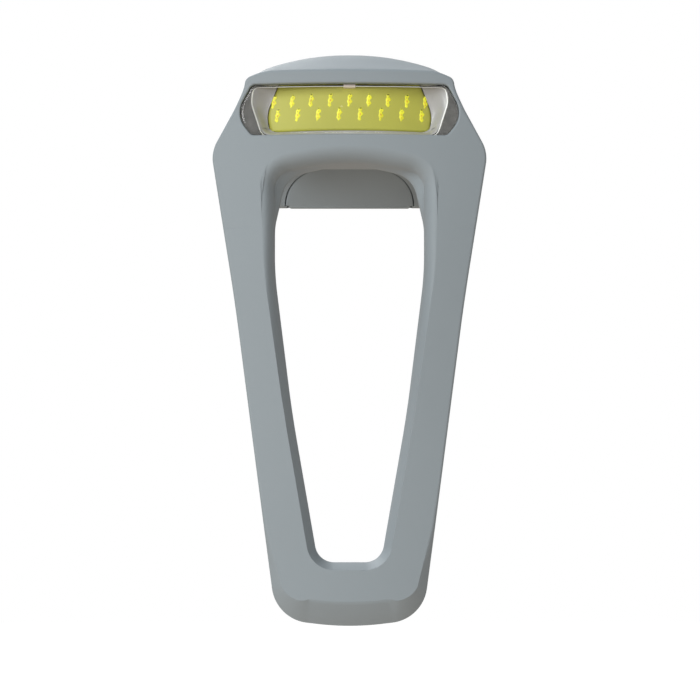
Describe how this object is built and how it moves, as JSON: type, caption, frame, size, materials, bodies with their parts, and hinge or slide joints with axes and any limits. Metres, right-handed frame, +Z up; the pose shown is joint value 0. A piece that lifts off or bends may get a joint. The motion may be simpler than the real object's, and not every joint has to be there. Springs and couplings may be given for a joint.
{
  "type": "bicycle light",
  "caption": "Strap-on bicycle light: silicone jacket over a hard core, curved strip of dies behind a clear window, press button on top, flapped charging port, looped strap.",
  "frame": {"origin": "on the handlebar's axis, in the middle of the saddle", "axes": "+X along the handlebar, -Y the way the light shines, +Z up"},
  "size_m": [0.0346, 0.0357, 0.0738],
  "materials": {
    "silicone": "soft matt silicone, grey",
    "clear_plastic": "clear moulded plastic, glossy",
    "core_plastic": "fine matt black",
    "seal_rubber": "matt black",
    "phosphor": "yellow silicone gel, satin",
    "die": "small glossy dies under the gel",
    "bezel_plastic": "pale grey-white, satin",
    "bare_aluminium": "machined, bare",
    "ribbon_film": "amber film",
    "board_laminate": "green solder mask",
    "chip_plastic": "moulded black",
    "screw_steel": "plain steel",
    "switch_metal": "stamped steel cover",
    "stem_plastic": "matt black",
    "cell_foil": "laminated foil, satin",
    "foam": "fine foam",
    "nickel": "nickel strip",
    "socket_steel": "stamped and plated steel"
  },
  "bodies": {
    "head": {"silicone_jacket": "silicone", "lens": "clear_plastic", "lens_seal": "seal_rubber", "core_lower_shell": "core_plastic", "core_upper_shell": "core_plastic", "strip_substrate": "bare_aluminium", "strip_phosphor": "phosphor", "light_dies": "die", "strip_bezel": "bezel_plastic", "status_light": "bezel_plastic", "heat_spreader": "bare_aluminium", "strip_ribbon": "ribbon_film", "main_board": "board_laminate", "board_chips": "chip_plastic", "board_screws": "screw_steel", "switch_body": "switch_metal", "battery_cell": "cell_foil", "battery_pad": "foam", "battery_tab_left": "nickel", "battery_tab_right": "nickel", "socket_shell": "socket_steel", "socket_tongue": "chip_plastic", "socket_gasket": "seal_rubber"},
    "button": {"button_pad": "silicone", "switch_stem": "stem_plastic"},
    "flap": {"port_flap": "silicone"},
    "strap_1": {"strap_upper_left": "silicone", "strap_upper_right": "silicone"},
    "strap_2": {"strap_middle_left": "silicone", "strap_middle_right": "silicone"},
    "strap_3": {"strap_lower_left": "silicone", "strap_lower_right": "silicone"},
    "strap_4": {"strap_end": "silicone"}
  },
  "joints": [
    {"name": "button_press", "type": "slide", "parent": "head", "child": "button", "axis": [0, 0, -1], "range_m": [0, 0.0003], "stiffness_N_per_m": 800},
    {"name": "flap_hinge", "type": "hinge", "parent": "head", "child": "flap", "pos_m": [0, 0.01033, 0.00549], "axis": [1, 0, 0], "range_deg": [0, 110], "stiffness_Nm_per_rad": 0.0005},
    {"name": "strap_flex_1", "type": "hinge", "parent": "head", "child": "strap_1", "pos_m": [0, -0.0132, -0.0055], "axis": [1, 0, 0], "range_deg": [0, 42], "stiffness_Nm_per_rad": 0.004},
    {"name": "strap_flex_2", "type": "hinge", "parent": "strap_1", "child": "strap_2", "pos_m": [0, -0.0132, -0.0165], "axis": [1, 0, 0], "range_deg": [0, 42], "stiffness_Nm_per_rad": 0.004},
    {"name": "strap_flex_3", "type": "hinge", "parent": "strap_2", "child": "strap_3", "pos_m": [0, -0.0132, -0.0275], "axis": [1, 0, 0], "range_deg": [0, 42], "stiffness_Nm_per_rad": 0.004},
    {"name": "strap_flex_4", "type": "hinge", "parent": "strap_3", "child": "strap_4", "pos_m": [0, -0.0132, -0.0385], "axis": [1, 0, 0], "range_deg": [0, 42], "stiffness_Nm_per_rad": 0.004}
  ],
  "couplings": [
    {"joint": "strap_flex_2", "follows": "strap_flex_1", "ratio": 1},
    {"joint": "strap_flex_3", "follows": "strap_flex_1", "ratio": 1},
    {"joint": "strap_flex_4", "follows": "strap_flex_1", "ratio": 1}
  ]
}
